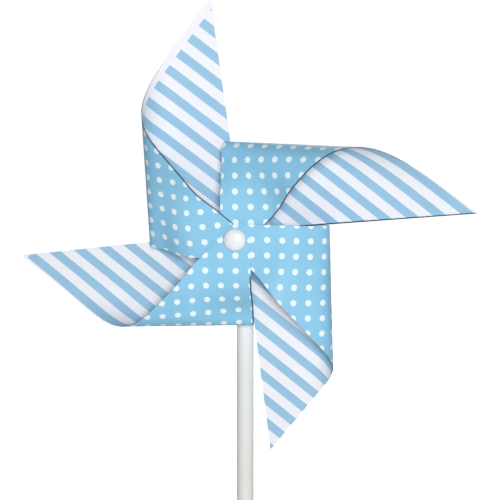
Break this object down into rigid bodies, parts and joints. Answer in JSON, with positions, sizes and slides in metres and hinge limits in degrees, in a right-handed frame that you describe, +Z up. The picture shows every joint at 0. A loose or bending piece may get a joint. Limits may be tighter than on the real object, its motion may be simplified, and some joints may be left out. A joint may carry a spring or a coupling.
{
  "type": "paper pinwheel",
  "caption": "Curled paper pinwheel, striped on its blades and dotted on its folded flaps, turning on a pin behind a round button at the top of a plastic tube stick.",
  "frame": {"origin": "centre of the flat lower face of the stick's foot plug", "axes": "+Z up the stick, -Y out of the front of the wheel, +X to the right seen from the front"},
  "size_m": [0.2095, 0.0445, 0.3948],
  "materials": {
    "printed_paper": "smooth coated craft paper, dotted on one face and striped on the other",
    "button_plastic": "glossy white moulding",
    "pin_steel": "drawn wire",
    "spacer_plastic": "natural white tube",
    "stick_plastic": "satin extruded tube"
  },
  "bodies": {
    "stick": {"stick_tube": "stick_plastic", "foot_plug": "stick_plastic", "top_plug": "stick_plastic", "pivot_bush": "spacer_plastic"},
    "axle": {"axle_pin": "pin_steel", "hub_button": "button_plastic", "hub_spacer": "spacer_plastic", "rear_washer": "spacer_plastic", "rear_cap": "button_plastic"},
    "sail": {"paper_sail": "printed_paper"}
  },
  "joints": [
    {"name": "axle_turn", "type": "hinge", "parent": "stick", "child": "axle", "pos_m": [0, -0.007, 0.29], "axis": [0, -1, 0], "continuous": true},
    {"name": "sail_spin", "type": "hinge", "parent": "axle", "child": "sail", "pos_m": [0, -0.007, 0.29], "axis": [0, -1, 0], "continuous": true}
  ]
}
